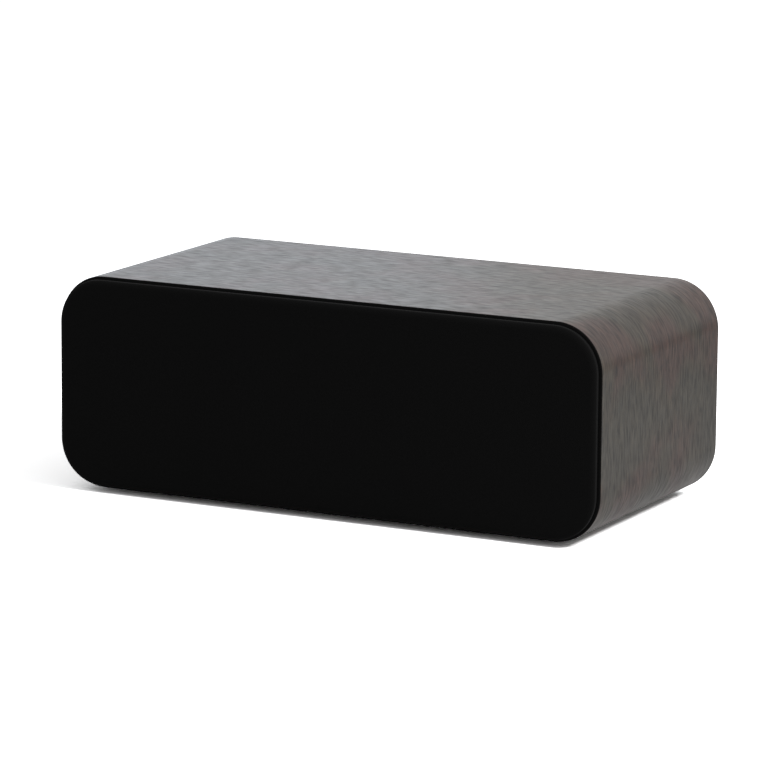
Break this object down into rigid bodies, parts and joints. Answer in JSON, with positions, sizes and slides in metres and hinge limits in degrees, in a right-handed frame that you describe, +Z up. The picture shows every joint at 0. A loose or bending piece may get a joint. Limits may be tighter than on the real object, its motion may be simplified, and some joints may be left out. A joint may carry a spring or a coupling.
{
  "type": "center channel speaker",
  "caption": "Low wide loudspeaker with a rounded wood-veneered cabinet, full-width pull-off cloth grille, rear port and screw terminals in a recessed cup.",
  "frame": {"origin": "middle of the footprint, on the surface that the feet stand on", "axes": "+X along the width, to the right as seen from the front; +Y from the grille to the back; +Z up"},
  "size_m": [0.43, 0.2064, 0.158],
  "materials": {
    "wood_veneer": "dark open-grain veneer, satin lacquer",
    "black_board": "fibreboard painted matt black",
    "plain_board": "raw fibreboard",
    "grille_fabric": "fine black woven polyester",
    "black_moulding": "moulded ABS, fine texture",
    "rubber": "matt rubber",
    "foam": "closed-cell foam",
    "zinc_steel": "zinc-plated steel",
    "black_steel": "blackened steel",
    "ferrite": "sintered ferrite",
    "coated_paper": "coated paper pulp",
    "cap_fabric": "doped fabric",
    "spider_cloth": "resin-stiffened woven cotton",
    "silk": "coated silk",
    "copper": "enamelled copper wire",
    "gilt_brass": "gilt",
    "red_plastic": "clear-coated red",
    "black_plastic": "gloss black",
    "wadding": "polyester wadding",
    "circuit_board": "bare laminate",
    "film_capacitor": "wrapped film",
    "cement": "cement body",
    "wire_cover": "insulated wire"
  },
  "bodies": {
    "cabinet": {"brace_left": "plain_board", "brace_right": "plain_board", "cabinet_wrap": "wood_veneer", "capacitors": "film_capacitor", "crossover_board": "circuit_board", "crossover_screws": "zinc_steel", "crossover_spacers": "black_moulding", "damping_pad_left": "wadding", "damping_pad_right": "wadding", "driver_screws": "black_steel", "driver_terminals": "circuit_board", "feet": "rubber", "front_baffle": "black_board", "grille_sockets": "rubber", "inductor_bobbins": "black_moulding", "inductor_windings": "copper", "input_leads": "wire_cover", "port_tube": "black_moulding", "post_collars": "black_plastic", "post_negative": "gilt_brass", "post_positive": "gilt_brass", "rear_panel": "black_board", "resistors": "cement", "terminal_cup": "black_moulding", "terminal_nuts": "zinc_steel", "terminal_screws": "black_steel", "tweeter_faceplate": "black_moulding", "tweeter_front_plate": "zinc_steel", "tweeter_leads": "wire_cover", "tweeter_magnet": "ferrite", "tweeter_yoke": "zinc_steel", "woofer_leads": "wire_cover", "woofer_left_back_plate": "zinc_steel", "woofer_left_basket": "black_moulding", "woofer_left_front_plate": "zinc_steel", "woofer_left_gasket": "foam", "woofer_left_magnet": "ferrite", "woofer_left_spider": "spider_cloth", "woofer_left_surround": "rubber", "woofer_right_back_plate": "zinc_steel", "woofer_right_basket": "black_moulding", "woofer_right_front_plate": "zinc_steel", "woofer_right_gasket": "foam", "woofer_right_magnet": "ferrite", "woofer_right_spider": "spider_cloth", "woofer_right_surround": "rubber"},
    "grille": {"grille_frame": "black_moulding", "grille_cloth": "grille_fabric"},
    "woofer_cone_left": {"woofer_left_cone": "coated_paper", "woofer_left_dust_cap": "cap_fabric", "woofer_left_voice_coil": "copper"},
    "woofer_cone_right": {"woofer_right_cone": "coated_paper", "woofer_right_dust_cap": "cap_fabric", "woofer_right_voice_coil": "copper"},
    "tweeter_dome": {"tweeter_diaphragm": "silk", "tweeter_voice_coil": "copper"},
    "clamp_positive": {"clamp_washer_positive": "gilt_brass"},
    "clamp_negative": {"clamp_washer_negative": "gilt_brass"},
    "knob_positive": {"knob_positive": "red_plastic"},
    "knob_negative": {"knob_negative": "black_plastic"}
  },
  "joints": [
    {"name": "grille_pull", "type": "slide", "parent": "cabinet", "child": "grille", "axis": [0, -1, 0], "range_m": [0, 0.08]},
    {"name": "woofer_left_stroke", "type": "slide", "parent": "cabinet", "child": "woofer_cone_left", "axis": [0, -1, 0], "range_m": [-0.003, 0.003], "stiffness_N_per_m": 1200, "deforming": ["woofer_left_surround", "woofer_left_spider"]},
    {"name": "woofer_right_stroke", "type": "slide", "parent": "cabinet", "child": "woofer_cone_right", "axis": [0, -1, 0], "range_m": [-0.003, 0.003], "stiffness_N_per_m": 1200, "deforming": ["woofer_right_surround", "woofer_right_spider"]},
    {"name": "tweeter_stroke", "type": "slide", "parent": "cabinet", "child": "tweeter_dome", "axis": [0, -1, 0], "range_m": [-0.0003, 0.0003], "stiffness_N_per_m": 1500, "deforming": ["tweeter_diaphragm"]},
    {"name": "clamp_positive_travel", "type": "slide", "parent": "cabinet", "child": "clamp_positive", "axis": [0, 1, 0], "range_m": [0, 0.004]},
    {"name": "knob_positive_turn", "type": "hinge", "parent": "clamp_positive", "child": "knob_positive", "pos_m": [0.00953, 0.079, 0.0805], "axis": [0, 1, 0], "range_deg": [0, 1440]},
    {"name": "clamp_negative_travel", "type": "slide", "parent": "cabinet", "child": "clamp_negative", "axis": [0, 1, 0], "range_m": [0, 0.004]},
    {"name": "knob_negative_turn", "type": "hinge", "parent": "clamp_negative", "child": "knob_negative", "pos_m": [-0.00953, 0.079, 0.0805], "axis": [0, 1, 0], "range_deg": [0, 1440]}
  ],
  "couplings": [
    {"joint": "knob_positive_turn", "follows": "clamp_positive_travel", "rad_per_m": 6283.2},
    {"joint": "knob_negative_turn", "follows": "clamp_negative_travel", "rad_per_m": 6283.2}
  ]
}
